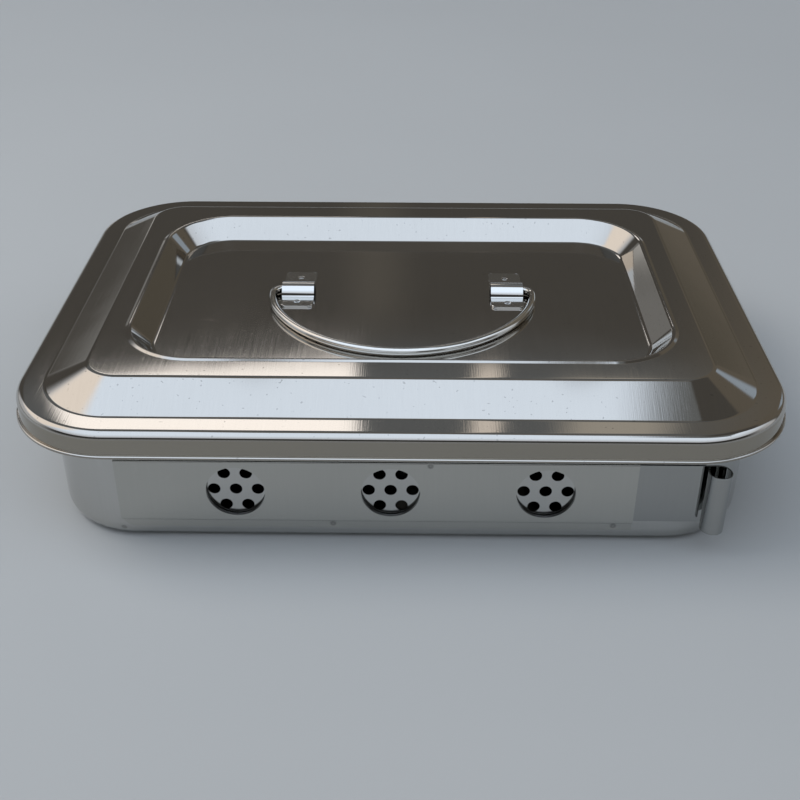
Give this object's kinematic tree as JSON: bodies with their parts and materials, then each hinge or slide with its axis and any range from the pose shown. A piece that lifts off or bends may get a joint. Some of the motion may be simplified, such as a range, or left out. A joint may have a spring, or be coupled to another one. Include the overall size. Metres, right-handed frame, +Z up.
{
  "type": "sterilization container",
  "caption": "Steel instrument tray with sliding vent shutters and a lift-off stamped lid with a folding wire handle.",
  "frame": {"origin": "centre of the tray's base, on the surface it stands on", "axes": "+X along the length, +Y to the rear (away from the shutter seen in front), +Z up"},
  "size_m": [0.286, 0.21, 0.063],
  "materials": {
    "tray_steel": "bright drawn stainless sheet",
    "guide_steel": "mirror-bright stainless strip",
    "shutter_steel": "mirror-bright stainless strip",
    "lid_steel": "satin stainless sheet",
    "bracket_steel": "bright stainless strap",
    "wire_steel": "bright stainless wire"
  },
  "bodies": {
    "tray": {"tray_body": "tray_steel", "front_guide": "guide_steel", "rear_guide": "guide_steel"},
    "lid": {"lid_shell": "lid_steel", "left_bracket": "bracket_steel", "right_bracket": "bracket_steel"},
    "handle": {"bail_handle": "wire_steel"},
    "front_shutter_body": {"front_shutter": "shutter_steel"},
    "rear_shutter_body": {"rear_shutter": "shutter_steel"}
  },
  "joints": [
    {"name": "lid_lift", "type": "slide", "parent": "tray", "child": "lid", "axis": [0, 0, 1], "range_m": [0, 0.06]},
    {"name": "handle_fold", "type": "hinge", "parent": "lid", "child": "handle", "pos_m": [0, 0.0045, 0.0562], "axis": [-1, 0, 0], "range_deg": [0, 177]},
    {"name": "front_shutter_slide", "type": "slide", "parent": "tray", "child": "front_shutter_body", "axis": [-1, 0, 0], "range_m": [0, 0.0235]},
    {"name": "rear_shutter_slide", "type": "slide", "parent": "tray", "child": "rear_shutter_body", "axis": [1, 0, 0], "range_m": [0, 0.0235]}
  ]
}
